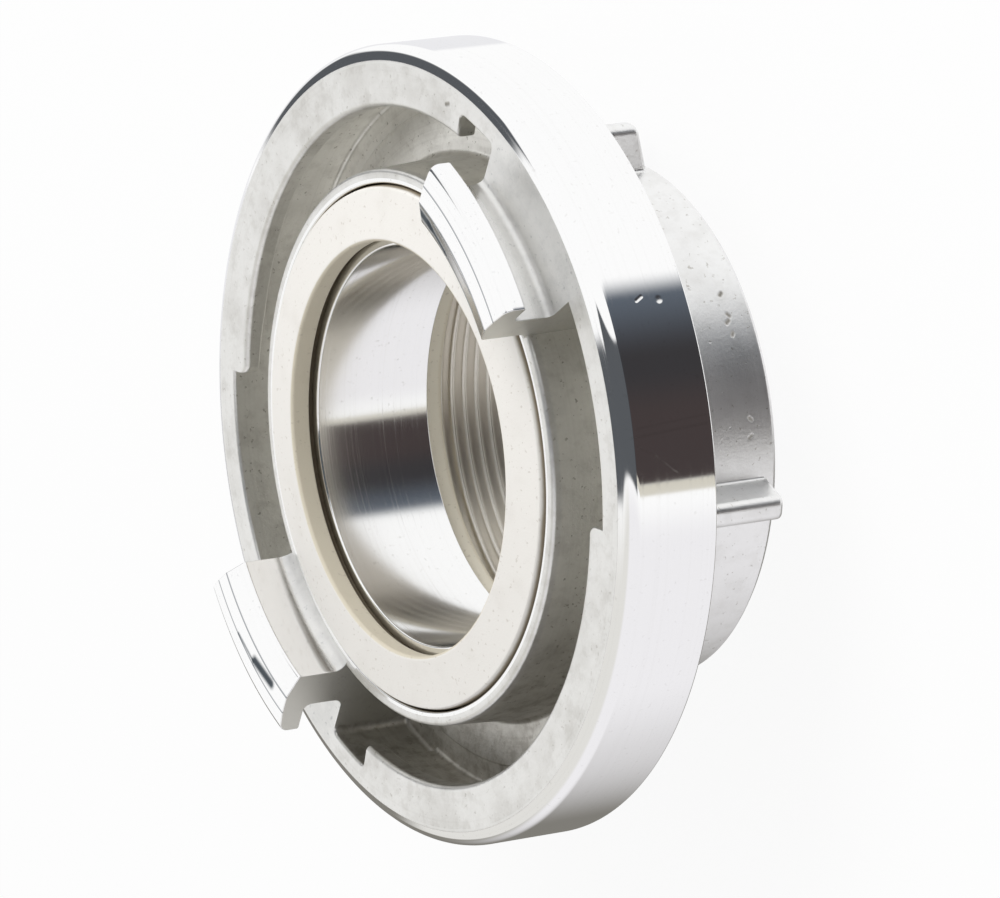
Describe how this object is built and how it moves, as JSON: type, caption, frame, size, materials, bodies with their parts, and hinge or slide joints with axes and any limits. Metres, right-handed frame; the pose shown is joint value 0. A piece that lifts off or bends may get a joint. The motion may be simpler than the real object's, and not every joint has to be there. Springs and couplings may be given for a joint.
{
  "type": "quarter turn fire hose coupling",
  "caption": "Fire hose coupling half with two hooked claws and two lips for a quarter turn lock, a rubber face seal and a threaded hub with spanner lugs.",
  "frame": {"origin": "centre of the hub's rear face, on the axis", "axes": "+Z along the axis to the front, where the claws are; +Y up and +X right when the front is looked at"},
  "size_m": [0.126, 0.126, 0.052],
  "materials": {
    "aluminium": "turned bright on the ring and bore, blasted on the face and hub",
    "seal_rubber": "matte cream rubber",
    "gasket_rubber": "matte beige grey rubber"
  },
  "bodies": {
    "root": {"coupling_body": "aluminium", "face_seal": "seal_rubber", "thread_gasket": "gasket_rubber"}
  },
  "joints": []
}
